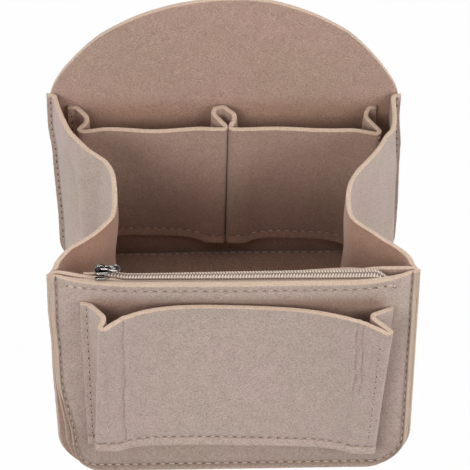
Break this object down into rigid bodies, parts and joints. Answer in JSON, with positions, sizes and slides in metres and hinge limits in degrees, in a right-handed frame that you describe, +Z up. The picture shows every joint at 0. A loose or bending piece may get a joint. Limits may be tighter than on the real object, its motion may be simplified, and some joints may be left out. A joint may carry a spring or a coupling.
{
  "type": "purse organizer insert",
  "caption": "felt organizer insert for a small bag: arched back panel, leaning front wall with zip pocket, pleated pockets and inward-folding side gussets",
  "frame": {"origin": "centre of the footprint, on the surface it stands on", "axes": "+Z up, the leaning front wall with the zip faces -Y, the arched back panel is towards +Y, +X to the right seen from the front"},
  "size_m": [0.191, 0.1652, 0.1947],
  "materials": {
    "felt": "matt pressed felt, beige",
    "zip_tape": "matt woven tape, pale beige",
    "zip_coil": "satin nylon, pale beige",
    "slider_metal": "polished dark nickel plating"
  },
  "bodies": {
    "organizer": {"back_panel": "felt", "inner_pocket": "felt", "left_gusset": "felt", "right_gusset": "felt", "base_panel": "felt"},
    "front_wall": {"front_inner_panel": "felt", "front_panel": "felt", "outer_pocket": "felt", "zip_tape_rear": "zip_tape", "zip_tape_front": "zip_tape", "zip_coil_rear": "zip_coil", "zip_coil_front": "zip_coil"},
    "zip_slider": {"zip_slider": "slider_metal"},
    "zip_pull": {"zip_pull": "slider_metal"}
  },
  "joints": [
    {"name": "front_wall_tilt", "type": "hinge", "parent": "organizer", "child": "front_wall", "pos_m": [0, -0.07157, 0.00389], "axis": [-1, 0, 0], "range_deg": [-4, 25], "stiffness_Nm_per_rad": 1, "deforming": ["left_gusset", "right_gusset"]},
    {"name": "zip_slide", "type": "slide", "parent": "front_wall", "child": "zip_slider", "axis": [1, 0, 0], "range_m": [0, 0.125], "deforming": ["zip_coil_rear", "zip_coil_front"]},
    {"name": "pull_hinge", "type": "hinge", "parent": "zip_slider", "child": "zip_pull", "pos_m": [-0.0675, -0.04984, 0.13543], "axis": [0, -0.9808, 0.1951], "range_deg": [0, 168]}
  ]
}
